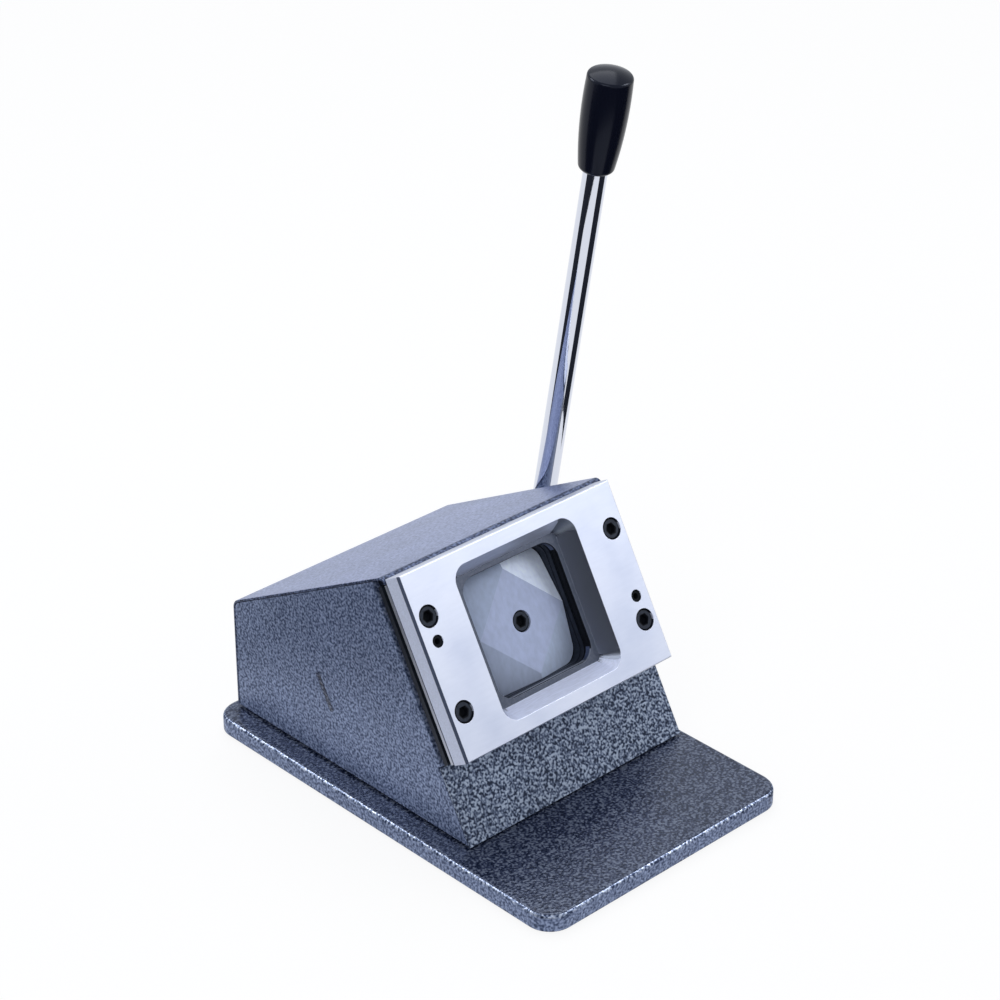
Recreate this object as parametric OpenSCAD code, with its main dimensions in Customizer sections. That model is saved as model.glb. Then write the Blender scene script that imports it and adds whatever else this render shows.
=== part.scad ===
// Square paper punch with a slanted die head, worked by a lever on its right side.
// Lengths are in millimetres. The origin is the middle of the base plate's underside.
// +X points to the lever, -Y to the person using it and +Z up.

/* [Base] */
// Base plate width, across the machine
base_w = 133.3; // [100:0.1:170]
// Base plate length, front to back
base_l = 203.3; // [170:0.1:250]
// Base plate thickness
base_t = 7.75; // [6:0.05:12]
// Corner radius of the base plate seen from above
base_corner_r = 10.8; // [5:0.1:20]
// Rounding along the top edges of the base plate
base_edge_r = 2; // [0.5:0.1:3.3]
// Rounding along the bottom edges of the base plate
base_foot_r = 0.5; // [0.3:0.1:1.4]
// Length of bare base behind the case
rear_margin = 4.55; // [1:0.05:16]
// Rubber foot diameter
foot_d = 15; // [10:0.5:20]
// Rubber foot thickness
foot_t = 2.5; // [1.7:0.1:4]
// Part of the rubber foot that stands out below the base
foot_proud = 1; // [0.5:0.1:1.6]
// Distance of the foot centres from the edges of the base
foot_inset = 13.5; // [10:0.5:25]
// Clearance round a rubber foot in its recess
foot_gap = 0.1; // [0.05:0.05:0.3]

/* [Case] */
// Case width over both side panels
case_w = 118.9; // [92:0.1:150]
// Offset of the case from the middle of the base, towards the lever
case_off = 3.1; // [0:0.1:6.6]
// Case depth at the foot, front to back
case_l = 145.1; // [110:0.1:183]
// Backward lean of the front of the case, in degrees
tilt = 30; // [15:0.5:45]
// Slanted length of the front of the case
front_run = 114.5; // [92:0.1:142]
// Fall of the case top towards the rear, in degrees
top_slope = 28.5; // [10:0.5:40]
// Gap between the case walls and the base
case_gap = 1.25; // [0.4:0.05:2.5]
// Side panel thickness
panel_t = 3.3; // [1.7:0.1:5]
// Sheet thickness of the wrapped top and rear cover
cover_t = 1; // [0.7:0.1:1.7]
// Sheet thickness of the front panel under the die head
front_t = 1.2; // [0.7:0.1:2.5]
// Width of the seams between the sheets
seam = 0.25; // [0.1:0.05:0.3]
// Outer bend radius of the cover at the rear
bend_r = 5; // [2.5:0.5:10]
// Outer bend radius of the cover's front lip
lip_r = 3.3; // [1.7:0.1:5]
// Gap between the front lip and the front plate
lip_gap = 0.25; // [0.1:0.05:0.5]
// Rear cover screw head diameter
cover_screw_head_d = 5.7; // [5:0.1:7.5]
// Rear cover screw head height
cover_screw_head_h = 1.65; // [1.4:0.05:2.4]
// Rear cover screw thread diameter
cover_screw_d = 3; // [2:1:4]
// Length of a rear cover screw under its head
cover_screw_l = 8; // [6:0.5:10]
// Rear cover screw spacing
cover_screw_pitch = 38; // [25:1:50]
// Socket size of the rear cover screws, across flats
cover_screw_key = 2; // [1.5:0.5:2.5]
// Socket depth of the rear cover screws
cover_screw_key_h = 1; // [0.8:0.1:1.4]
// Rear tie bar section, height and thickness
tie_s = 10; // [7:0.5:13]
// Thread length of the base screws in the mounting blocks and the tie bar
block_thread = 6.5; // [5:0.5:8.5]
// Mounting block width
block_w = 12; // [10:0.5:15]
// Mounting block length
block_l = 20; // [15:0.5:25]
// Mounting block height
block_h = 11; // [8.5:0.5:15]
// Distance of the mounting blocks behind the foot of the case
block_front = 13.5; // [10:0.5:25]

/* [Die stack] */
// Offset of the die head from the middle of the base
plate_off = 1.47; // [0:0.01:5]
// Distance of the die centre down the slanted front from the case's upper corner
die_drop = 40.17; // [38:0.01:50]
// Front plate width
plate_w = 115; // [92:0.5:142]
// Front plate height
plate_h = 77.5; // [67:0.5:100]
// Front plate thickness
plate_t = 8.75; // [7:0.05:12]
// Chamfer on the left and right front edges of the front plate
plate_chamfer = 1; // [0.4:0.1:1.7]
// Small bevel on the upper and lower front edges of the front plate
plate_bevel = 0.4; // [0.2:0.1:0.8]
// Small chamfer on the left and right rear edges of the front plate
back_chamfer = 0.4; // [0.1:0.1:0.8]
// Die plate thickness
die_t = 2.5; // [1.7:0.1:4]
// Chamfer on the ends of the die plate
die_chamfer = 0.5; // [0.2:0.1:0.8]
// Height of the paper slot
slot_t = 1.5; // [1:0.1:2.5]
// Stripper plate thickness
stripper_t = 2.4; // [1.7:0.1:4]
// Guide block thickness
guide_t = 10; // [8.5:0.5:17]
// Part of the guide block that stands out in front of the case
guide_proud = 2.05; // [0:0.05:4]
// Distance of the inner plates' ends from the front plate's ends
layer_inset = 0.25; // [0.1:0.05:0.8]
// Gap between the inner plates' top edge and the lip of the cover
stack_gap = 0.54; // [0.3:0.02:3]
// Width of the two strips that keep the paper slot open
strip_w = 10; // [7.5:0.5:13]
// Distance of the strips from the plates' ends
strip_inset = 2.7; // [1:0.1:5]
// Distance of the guide block's lower edge below the die centre
guide_low = 38.6; // [36.5:0.1:39]
// Gap between the guide block's top and the inside of the cover
roof_gap = 0.52; // [0.3:0.02:2]
// Window width and height at the front
win_w = 65.3; // [56:0.1:72]
// Window corner radius at the front
win_r = 7.1; // [3.5:0.1:12]
// Window width and height at the bottom of its sloping walls
win_floor_w = 55.55; // [52.5:0.05:60]
// Depth of the window's sloping walls
win_depth = 7.8; // [5:0.1:8.2]
// Clearance of the punch in the opening of the window's ledge, each side
land_gap = 0.3; // [0.1:0.05:1]
// Corner radius of the opening in the ledge
land_r = 7.1; // [4:0.1:12]
// Column spacing of the head screws
screw_pitch_x = 100.3; // [84:0.1:125]
// Row spacing of the head screws
screw_pitch_v = 39.7; // [25:0.1:58]
// Head screw thread diameter
screw_d = 5; // [4:1:6]
// Head screw head diameter
screw_head_d = 8.5; // [7:0.5:9]
// Head screw head height
screw_head_h = 5; // [4:0.5:6]
// Head screw counterbore diameter
screw_bore_d = 9.2; // [8.6:0.1:11]
// Depth of the screw head below the face
screw_sink = 0.5; // [0.2:0.1:1.6]
// Socket size of the screws, across flats
screw_key = 4; // [3:1:5]
// Socket depth of the screws
screw_key_h = 2.5; // [1.5:0.5:3.5]
// Head screw length under the head
screw_l = 18; // [15:0.5:19]
// Dowel pin diameter
dowel_d = 5; // [4:0.5:6.5]
// Dowel pin length
dowel_l = 22; // [17:0.5:24]
// Depth of the dowel end below the face
dowel_sink = 0.5; // [0.2:0.1:1.6]
// Diameter of the pull hole in a dowel pin
dowel_pull_d = 2.5; // [1.5:0.1:3.3]
// Depth of the pull hole in a dowel pin
dowel_pull_h = 5; // [3.5:0.5:8]
// Height of the left dowel over the die centre
dowel_v = 9.5; // [4:0.1:13]
// Clearance round screws and press-fitted pieces, on the radius
fit_gap = 0.05; // [0.02:0.01:0.1]
// Free clearance round screw shanks, on the radius
free_gap = 0.3; // [0.2:0.05:0.6]

/* [Punch and ram] */
// Punch width and height, the size of the cut piece
punch_w = 50.8; // [40:0.1:51.4]
// Punch corner radius
punch_r = 6.7; // [3:0.1:10]
// Punch length
punch_l = 31; // [25:0.5:42]
// Distance of the punch face behind the paper slot at rest
punch_back = 2.5; // [0.1:0.1:4]
// Half diagonal of the flat diamond on the punch face
diamond_half = 22.6; // [17:0.1:22.8]
// Sideways offset of the diamond and the punch screw from the punch's middle
punch_shift = 2.5; // [0:0.1:4]
// Downward offset of the diamond and the punch screw from the punch's middle
punch_fall = 0.6; // [0:0.1:1.2]
// Slope of the punch face's corner facets, in degrees
facet_angle = 15; // [5:0.5:25]
// Cutting clearance between punch and die, each side
cut_gap = 0.06; // [0.03:0.01:0.1]
// Sliding clearance between punch and guide block, each side
guide_gap = 0.08; // [0.04:0.01:0.1]
// Extra relief of the guide block at the punch's corners, on the corner radius
corner_relief = 0.6; // [0.3:0.1:1.2]
// Punch stroke
stroke = 9.4; // [8:0.1:10]
// Diameter of the counterbore for the punch screw
punch_bore_d = 9; // [8.6:0.1:10]
// Length of the punch screw under its head
punch_screw_l = 35; // [30:0.5:35.5]
// Crosshead width
head_w = 83; // [82:0.5:90]
// Crosshead height
head_h = 42; // [33:0.5:50]
// Crosshead thickness
head_t = 10; // [9.5:0.5:13]
// Guide post diameter
post_d = 8; // [6.5:0.5:8.5]
// Guide post spacing
post_pitch = 66; // [64.5:0.5:67]
// Depth of a guide post in the guide block
post_depth = 7.5; // [5:0.5:8.5]
// Bush outer diameter in the crosshead
bush_d = 12; // [11:0.5:13.5]
// Bush flange diameter in the crosshead
bush_flange_d = 15; // [13.5:0.5:16]
// Bush flange thickness
bush_flange_t = 1.5; // [0.8:0.1:2.5]
// Running clearance of shafts and posts in their bushes, on the radius
run_gap = 0.05; // [0.02:0.01:0.08]
// Stop sleeve outer diameter
sleeve_d = 12.5; // [11:0.5:15]
// Play between stop sleeve, spring and their neighbours
end_play = 0.3; // [0.1:0.05:0.5]
// Return spring mean coil diameter
spring_d = 10.8; // [10.5:0.1:12]
// Return spring wire diameter
spring_wire = 1.3; // [0.8:0.1:1.5]
// Number of coils in a return spring
spring_turns = 6; // [4:1:8]
// Clevis width
clevis_w = 23.5; // [20:0.5:26]
// Clevis height
clevis_h = 21.5; // [20.5:0.5:25]
// Solid length of the clevis behind the crosshead
clevis_solid = 11.5; // [10:0.5:12.5]
// Width of the clevis slot
clevis_slot = 10; // [9:0.5:11.5]
// Length of the clevis ears behind the roller centre
clevis_end = 3.3; // [2.9:0.1:4.2]
// Clevis screw spacing
clevis_screw_pitch = 15; // [14:0.5:16]
// Clevis screw thread diameter
clevis_screw_d = 4; // [3:1:4]
// Clevis screw head diameter
clevis_screw_head_d = 7; // [6:0.5:7.5]
// Clevis screw head height
clevis_screw_head_h = 4; // [3.5:0.5:5]
// Length of a clevis screw under its head
clevis_screw_l = 14; // [10:0.5:15]
// Roller diameter
roller_d = 12; // [10.5:0.5:13]
// Roller width
roller_w = 7.5; // [6.5:0.5:8]
// Roller pin diameter
roller_pin_d = 5; // [4:0.5:6.5]

/* [Cam shaft] */
// Distance of the lever shaft behind the front plate's face
pivot_depth = 91.6; // [88:0.1:94]
// Lever swing, in degrees
swing = 60; // [50:1:75]
// Cam radius under the roller at rest
cam_r = 10; // [9.5:0.1:10.8]
// Gap between cam and roller
cam_gap = 0.3; // [0.2:0.05:0.4]
// Cam thickness
cam_w = 8.4; // [7.8:0.1:9.2]
// Radius of the cam's body round the shaft
cam_body_r = 9.2; // [8.5:0.1:9.6]
// Cam hub diameter, beside the cam
cam_hub_d = 22; // [20:0.5:23]
// Cam hub width over both sides
cam_hub_w = 25; // [20:0.5:30]
// Cross pin diameter
cam_pin_d = 4; // [3:0.5:5]
// Lever shaft diameter
shaft_d = 14; // [10:0.5:16]
// Bearing bush outer diameter
bearing_d = 18; // [17:0.5:19]
// Bearing bush flange diameter
bearing_flange_d = 22; // [20:0.5:25]
// Bearing block thickness
bearing_block_t = 13; // [10:0.5:16]
// Bearing block height
bearing_block_h = 35; // [33:0.5:39]
// Bearing screw spacing
bearing_screw_pitch = 26; // [25:0.5:27]
// Bearing screw length under the head
bearing_screw_l = 15; // [12:0.5:20]
// Length of a bearing block behind the shaft
bearing_block_back = 14.3; // [12:0.1:18]
// Collar diameter
collar_d = 24; // [20:0.5:26]
// Collar width
collar_w = 8; // [6:0.5:10]
// Distance of the lever shaft behind the bulkhead's front face
shaft_back = 16.4; // [15:0.1:17]
// Bulkhead thickness
bulk_t = 2.1; // [1.6:0.1:3.3]
// Width of the bulkhead's window
bulk_win_w = 28.5; // [26:0.5:33]
// Height of the bulkhead's window
bulk_win_h = 33; // [30:0.5:35]
// Length of the tabs that hold the bulkhead in the side panels
tab_l = 16.6; // [10:0.1:25]
// Height of the tabs' middle against the die centre
tab_v = -1.7; // [-7:0.1:7]
// Clearance of the tabs in their slots
tab_gap = 0.2; // [0.05:0.05:0.3]

/* [Lever] */
// Forward lean of the lever at rest, in degrees
lean = 9.94; // [0:0.01:20]
// Lever rod diameter
rod_d = 10; // [8:0.5:13]
// Distance of the rod's lower end from the shaft's surface
rod_clear = 0.8; // [0.3:0.1:1.6]
// Distance from the shaft to the underside of the knob
knob_at = 206.6; // [170:0.1:250]
// Lever hub diameter
hub_d = 28; // [25:0.5:33]
// Lever hub length
hub_l = 17.4; // [16:0.1:22]
// Diameter of the hub's neck round the rod
neck_d = 16.5; // [13:0.5:17]
// Height of the hub's neck over the shaft
neck_at = 20.8; // [18:0.1:25]
// Thrust washer diameter
washer_d = 24; // [20:0.5:27]
// Thrust washer thickness
washer_t = 1.3; // [0.8:0.1:2]
// End washer diameter
end_washer_d = 20; // [17:0.5:23]
// End washer thickness
end_washer_t = 1.7; // [1.2:0.1:2.5]
// Button head diameter of the end screw and the base screws
button_d = 9.5; // [7.5:0.5:10]
// Button head height
button_h = 2.75; // [2:0.05:3.3]
// Socket size of the button heads, across flats
button_key = 3; // [2:0.5:4]
// Socket depth of the button heads
button_key_h = 1.5; // [0.8:0.1:2]
// Length of the end screw under its head
end_screw_l = 14; // [10:0.5:15]
// Key width and height
key_s = 5; // [4:0.5:5.5]
// Key length
key_l = 14; // [10:0.5:15]
// Set screw socket size, across flats
set_key = 2.5; // [1.5:0.5:2.5]
// Knob length
knob_l = 43.9; // [33:0.1:55]
// Knob diameter at its widest place
knob_d = 19.1; // [16:0.1:25]
// Height of the knob's widest place over its underside
knob_widest = 30.3; // [22:0.1:36]
// Radius of the long arc of the knob's side
knob_side_r = 194; // [120:1:300]
// Rounding of the knob's bottom edge
knob_r0 = 2.2; // [0.8:0.1:3.3]
// Rounding of the knob's rim
knob_r1 = 1.4; // [0.6:0.1:3]
// Height of the knob's domed end over its rim
dome_h = 1.7; // [0.8:0.1:3.5]
// Depth of the rod in the knob
knob_bore = 26; // [16:0.5:33]

/* [Hidden] */
$fn = 72;
// Fineness of the knob's long arcs
fine_fn = 720;
// Overrun of the cutting bodies
over = 1;
// Height of the base plate's top, where the case starts
top_z = base_t;
// Foot line of the case front
foot_y = base_l / 2 - rear_margin - case_l;
rear_y = foot_y + case_l;
left_x = case_off - case_w / 2;
right_x = case_off + case_w / 2;
left_in = left_x + panel_t;
right_in = right_x - panel_t;
in_w = right_in - left_in;
in_x = (left_in + right_in) / 2;
// Depths behind the front plate's face
s_die = plate_t;
s_slot = s_die + die_t;
s_strip = s_slot + slot_t;
s_guide = s_strip + stripper_t;
s_case = s_guide + guide_proud;
s_guide_end = s_guide + guide_t;
s_face = s_strip + punch_back;
s_head = s_face + punch_l;
s_tail = s_head + head_t;
s_roller = pivot_depth - cam_r - cam_gap - roller_d / 2;
bulk_depth = pivot_depth - shaft_back;
s_bulk_end = bulk_depth + bulk_t;
// Distance of the die centre up the slanted front
die_rise = front_run - die_drop;
// Middle of the front plate's face
die_y = foot_y + die_rise * sin(tilt) - s_case * cos(tilt);
die_z = top_z + die_rise * cos(tilt) + s_case * sin(tilt);
// Axis of the lever shaft
pivot_y = die_y + pivot_depth * cos(tilt);
pivot_z = die_z - pivot_depth * sin(tilt);
// Upper front corner of the case
peak_y = foot_y + front_run * sin(tilt);
peak_z = top_z + front_run * cos(tilt);
rear_z = peak_z - (rear_y - peak_y) * tan(top_slope);
// Slope of the case top against the punch axis
top_dev = tilt - top_slope;
// Front lip of the cover: its outer face and the middle of its bend
s_lip = plate_t + lip_gap;
lip_c = s_lip + lip_r;
lip_v = die_drop - (s_case - lip_c) * tan(top_dev) - lip_r / cos(top_dev);
// Top edges of the inner plates and of the guide block
stack_top = lip_v - stack_gap;
guide_top = die_drop - (s_case - s_guide) * tan(top_dev) - cover_t / cos(top_dev) - roof_gap;
// Half sizes of the plates
half_w = plate_w / 2;
half_h = plate_h / 2;
layer_half = half_w - layer_inset;
strip_out = layer_half - strip_inset;
strip_in = strip_out - strip_w;
win_c = win_w / 2 - win_r;
floor_r = win_floor_w / 2 - win_c;
land_w = punch_w + 2 * land_gap;
// Spring and sleeve lengths
spring_l = s_head - s_guide_end - 2 * end_play;
sleeve_0 = s_tail + bush_flange_t + end_play;
// Cam follower distances
pitch_r = cam_r + cam_gap + roller_d / 2;
cam_rate = stroke / swing;
cam_over = 6;
cam_step = 2;
// Lever side positions
thrust_x = right_x + end_play;
hub_x = thrust_x + washer_t + end_play;
hub_end = hub_x + hub_l;
rod_x = hub_x + hub_l / 2;
shaft_x = left_in + 2 * end_play;
shaft_end = hub_end - 2 * end_play;
bearing_cx_left = left_in + bearing_block_t / 2;
bearing_cx_right = right_in - bearing_block_t / 2;
collar_left = left_in + bearing_block_t + bush_flange_t + end_play - plate_off;
collar_right = right_in - bearing_block_t - bush_flange_t - end_play - collar_w - plate_off;

// Directions of the die head: X across, Y back along the punch axis, Z up the slant
module at_die() {
    translate([plate_off, die_y, die_z]) rotate([-tilt, 0, 0]) children();
}

// Directions of the lever: X along the shaft, Z along the rod
module at_lever() {
    translate([0, pivot_y, pivot_z]) rotate([lean, 0, 0]) children();
}

module span(x0, x1, y0, y1, z0, z1) {
    translate([x0, y0, z0]) cube([x1 - x0, y1 - y0, z1 - z0]);
}

module bar_y(d, y0, y1) {
    translate([0, y0, 0]) rotate([-90, 0, 0]) cylinder(h = y1 - y0, d = d);
}

module bar_x(d, x0, x1) {
    translate([x0, 0, 0]) rotate([0, 90, 0]) cylinder(h = x1 - x0, d = d);
}

module round_rect(w, h, r) {
    square([w - 2 * r, h], center = true);
    square([w, h - 2 * r], center = true);
    for (sx = [-1, 1]) for (sy = [-1, 1])
        translate([sx * (w / 2 - r), sy * (h / 2 - r)]) circle(r = r);
}

// Square prism with round corners, along the punch axis
module prism(w, r, y0, y1) {
    translate([0, y0, 0]) rotate([-90, 0, 0]) linear_extrude(height = y1 - y0)
        round_rect(w, w, r);
}

// Plate in the plane of the side panels, drawn in Y and Z
module side_sheet(x0, t) {
    translate([x0, 0, 0]) rotate([90, 0, 90]) linear_extrude(height = t) children();
}

// Hexagonal socket, along Y from its mouth
module socket_y(key, y0, h) {
    translate([0, y0 - over, 0]) rotate([-90, 0, 0])
        cylinder(h = h + over, r = key / sqrt(3), $fn = 6);
}

// Cap screw along the punch axis, the head's top at y0
module cap_screw(head_d, head_h, d, l, key, key_h, y0) {
    difference() {
        union() {
            bar_y(head_d, y0, y0 + head_h);
            bar_y(d, y0 + head_h - run_gap, y0 + head_h + l);
        }
        socket_y(key, y0, key_h);
    }
}

// Button screw standing up along Z, the shoulder under its head at height zero
module button_screw(l) {
    difference() {
        union() {
            cylinder(h = l, d = screw_d);
            rotate([180, 0, 0]) cylinder(h = button_h, d1 = button_d, d2 = button_d - button_h);
        }
        translate([0, 0, -button_h - over])
            cylinder(h = button_key_h + over, r = button_key / sqrt(3), $fn = 6);
    }
}

module head_positions() {
    for (sx = [-1, 1]) for (sv = [-1, 1])
        translate([sx * screw_pitch_x / 2, 0, sv * screw_pitch_v / 2]) children();
}

module dowel_positions() {
    for (sx = [-1, 1])
        translate([sx * screw_pitch_x / 2, 0, -sx * dowel_v]) children();
}

module post_positions() {
    for (sx = [-1, 1]) translate([sx * post_pitch / 2, 0, 0]) children();
}

module bearing_screw_positions() {
    for (cx = [bearing_cx_left, bearing_cx_right]) for (sv = [-1, 1])
        translate([cx - plate_off, 0, sv * bearing_screw_pitch / 2]) children();
}

module foot_positions() {
    for (sx = [-1, 1]) for (sy = [-1, 1])
        translate([sx * (base_w / 2 - foot_inset), sy * (base_l / 2 - foot_inset), 0]) children();
}

module block_positions() {
    for (px = [left_in + block_w / 2, right_in - block_w / 2])
        translate([px, foot_y + block_front + block_l / 2, 0]) children();
}

module tie_screw_positions() {
    for (sx = [-1, 1])
        translate([in_x + sx * cover_screw_pitch / 2, rear_y - cover_t - seam - tie_s / 2, 0])
            children();
}

module base_screw_positions() {
    block_positions() children();
    tie_screw_positions() children();
}

// Outline of a side panel or of the space inside the cover, set in from the outside by d
module case_outline(front_in, roof_in, rear_in, z0, r) {
    roof = roof_in / cos(top_slope);
    ry = rear_y - rear_in;
    rz = rear_z - roof + rear_in * tan(top_slope);
    fy = foot_y + (z0 - top_z) * tan(tilt) + front_in / cos(tilt);
    // Upper front corner, where the slanted front meets the lowered roof
    k = (roof * cos(tilt) * cos(top_slope) + front_in * sin(top_slope)) / cos(tilt - top_slope);
    py = peak_y + (front_in - k * sin(tilt)) / cos(tilt);
    pz = peak_z - k;
    difference() {
        polygon([[fy, z0], [py, pz], [ry, rz], [ry, z0]]);
        bend_cut(ry, rz, r);
    }
}

// Corner piece that is taken away to round the upper rear corner at y, z
module bend_cut(y, z, r) {
    half = (90 - top_slope) / 2;
    leg = r * tan(half);
    cy = y - r;
    cz = z - leg;
    difference() {
        polygon([[y + over, z + over], [y + over, cz], [y, cz], [cy, cz],
            [y - leg * cos(top_slope), z + leg * sin(top_slope)],
            [y - leg * cos(top_slope), z + leg * sin(top_slope) + over]]);
        translate([cy, cz]) circle(r = r);
    }
}

// Outline of the base plate seen from its edge, well rounded above and only broken below
module base_edges(w) {
    translate([0, (base_foot_r - base_edge_r) / 2])
        square([w, base_t - base_edge_r - base_foot_r], center = true);
    translate([0, base_t / 4]) square([w - 2 * base_edge_r, base_t / 2], center = true);
    translate([0, -base_t / 3]) square([w - 2 * base_foot_r, base_t / 3], center = true);
    for (side = [-1, 1]) {
        translate([side * (w / 2 - base_edge_r), base_t / 2 - base_edge_r]) circle(r = base_edge_r);
        translate([side * (w / 2 - base_foot_r), base_foot_r - base_t / 2]) circle(r = base_foot_r);
    }
}

module base_plate() {
    color("slategray") difference() {
        union() {
            translate([0, base_l / 2 - base_corner_r, base_t / 2]) rotate([90, 0, 0])
                linear_extrude(height = base_l - 2 * base_corner_r)
                    base_edges(base_w);
            translate([-base_w / 2 + base_corner_r, 0, base_t / 2]) rotate([90, 0, 90])
                linear_extrude(height = base_w - 2 * base_corner_r)
                    base_edges(base_l);
            for (sx = [-1, 1]) for (sy = [-1, 1])
                translate([sx * (base_w / 2 - base_corner_r), sy * (base_l / 2 - base_corner_r),
                    base_t / 2]) rotate_extrude() intersection() {
                        base_edges(2 * base_corner_r);
                        translate([0, -base_t]) square([base_corner_r + over, 2 * base_t]);
                    }
        }
        foot_positions() translate([0, 0, -over])
            cylinder(h = foot_t - foot_proud + over, d = foot_d + 2 * foot_gap);
        base_screw_positions() {
            translate([0, 0, -over]) cylinder(h = base_t + 2 * over, d = screw_d + 2 * free_gap);
            translate([0, 0, -over])
                cylinder(h = button_h + screw_sink + over, d = button_d + 2 * free_gap);
        }
    }
}

module rubber_feet() {
    color("black") foot_positions() translate([0, 0, -foot_proud]) cylinder(h = foot_t, d = foot_d);
}

module base_screws() {
    color("dimgray") base_screw_positions() translate([0, 0, button_h + screw_sink])
        button_screw(base_t - button_h - screw_sink + block_thread);
}

module mounting_blocks() {
    color("gray") block_positions() difference() {
        translate([-block_w / 2, -block_l / 2, top_z]) cube([block_w, block_l, block_h]);
        translate([0, 0, top_z - over]) cylinder(h = block_h + 2 * over, d = screw_d + 2 * fit_gap);
    }
}

module panel_shape() {
    difference() {
        case_outline(0, cover_t + seam, cover_t + seam, top_z + case_gap, bend_r - cover_t - seam);
        // Room for the front panel's sheet below the die head
        translate([foot_y, top_z]) rotate([0, 0, 90 - tilt])
            translate([-over, -front_t - seam])
                square([die_rise - guide_low + over, front_t + seam + over]);
    }
}

module tab_slot(x0, x1) {
    at_die() span(x0 - plate_off, x1 - plate_off, bulk_depth - tab_gap, s_bulk_end + tab_gap,
        tab_v - tab_l / 2 - tab_gap, tab_v + tab_l / 2 + tab_gap);
}

module side_panel_left() {
    color("slategray") difference() {
        side_sheet(left_x, panel_t) panel_shape();
        tab_slot(left_x - over, left_in + over);
    }
}

module side_panel_right() {
    color("slategray") difference() {
        side_sheet(right_in, panel_t) panel_shape();
        tab_slot(right_in - over, right_x + over);
        translate([0, pivot_y, pivot_z]) bar_x(bearing_d + 2 * fit_gap, right_in - over, right_x + over);
    }
}

module front_panel() {
    color("slategray") translate([left_x, foot_y, top_z]) rotate([-tilt, 0, 0])
        translate([0, 0, case_gap / cos(tilt)])
            cube([case_w, front_t, die_rise - guide_low - 2 * seam - case_gap / cos(tilt)]);
}

// Inside of the cover's outer face, set in by d, with its bend at the rear and its lip at the front
module cover_section(d, z0) {
    difference() {
        case_outline(d - s_case + s_lip, d, d, z0, bend_r - d);
        at_die_flat() lip_cut(lip_r - d);
    }
}

// Directions of the die head in a drawing of Y and Z
module at_die_flat() {
    translate([die_y, die_z]) rotate([0, 0, -tilt]) children();
}

// Corner piece that is taken away to round the front lip
module lip_cut(r) {
    ty = lip_c - r * sin(top_dev);
    tv = lip_v + r * cos(top_dev);
    difference() {
        polygon([[lip_c - r - over, lip_v], [lip_c, lip_v], [ty, tv], [ty, tv + over],
            [lip_c - r - over, tv + over]]);
        translate([lip_c, lip_v]) circle(r = r);
    }
}

module case_cover() {
    color("lightslategray") difference() {
        side_sheet(left_x, case_w) difference() {
            cover_section(0, top_z + case_gap);
            cover_section(cover_t, top_z + case_gap - over);
            // The lip ends where it has turned down
            at_die_flat() translate([s_lip - over, -front_run])
                square([cover_t + 2 * over, front_run + lip_v]);
        }
        translate([in_x, rear_y, top_z + tie_s / 2]) cover_screw_positions()
            bar_y(cover_screw_d + 2 * free_gap, -cover_t - over, over);
    }
}

module cover_screw_positions() {
    for (k = [-1, 0, 1]) translate([k * cover_screw_pitch, 0, 0]) children();
}

module rear_tie_bar() {
    color("gray") difference() {
        span(left_in, right_in, rear_y - cover_t - seam - tie_s, rear_y - cover_t - seam,
            top_z, top_z + tie_s);
        tie_screw_positions() translate([0, 0, top_z - over])
            cylinder(h = block_thread + end_play + over, d = screw_d + 2 * fit_gap);
        translate([in_x, rear_y, top_z + tie_s / 2]) cover_screw_positions()
            bar_y(cover_screw_d + 2 * fit_gap, -cover_t - seam - tie_s - over, over);
    }
}

module cover_screws() {
    color("dimgray") translate([in_x, rear_y, top_z + tie_s / 2])
        cover_screw_positions() difference() {
            union() {
                rotate([-90, 0, 0]) cylinder(h = cover_screw_head_h, d1 = cover_screw_head_d,
                    d2 = cover_screw_head_d - cover_screw_head_h);
                bar_y(cover_screw_d, -cover_screw_l, run_gap);
            }
            translate([0, cover_screw_head_h - cover_screw_key_h, 0]) rotate([-90, 0, 0])
                cylinder(h = cover_screw_key_h + over, r = cover_screw_key / sqrt(3), $fn = 6);
        }
}

module bulkhead() {
    lo = -(die_z - top_z) / cos(tilt) + bulk_depth * tan(tilt) + 2 * case_gap;
    hi = die_drop + (bulk_depth - s_case) * tan(top_dev) - cover_t - end_play;
    color("dimgray") at_die() difference() {
        union() {
            span(left_in - plate_off, right_in - plate_off, bulk_depth, s_bulk_end, lo, hi);
            span(left_x - plate_off, right_x - plate_off, bulk_depth, s_bulk_end,
                tab_v - tab_l / 2, tab_v + tab_l / 2);
        }
        span(-bulk_win_w / 2, bulk_win_w / 2, bulk_depth - over, s_bulk_end + over,
            -bulk_win_h / 2, bulk_win_h / 2);
        post_positions() bar_y(post_d + 2 * fit_gap, bulk_depth - over, s_bulk_end + over);
        bearing_screw_positions() bar_y(screw_d + 2 * free_gap, bulk_depth - over, s_bulk_end + over);
    }
}

// Sloping window of the front plate, opening towards the front
module window_cut() {
    slope = (win_w - win_floor_w) / 2 / win_depth;
    near = win_w / 2 + slope * over;
    deep = win_floor_w / 2;
    for (turn = [0, 90]) rotate([0, turn, 0])
        translate([0, 0, -win_c]) linear_extrude(height = 2 * win_c)
            polygon([[-near, -over], [near, -over], [deep, win_depth], [-deep, win_depth]]);
    for (sx = [-1, 1]) for (sv = [-1, 1])
        translate([sx * win_c, -over, sv * win_c]) rotate([-90, 0, 0])
            cylinder(h = win_depth + over, r1 = win_r + slope * over, r2 = floor_r);
    prism(land_w, land_r, win_depth - over, plate_t + over);
}

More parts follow.
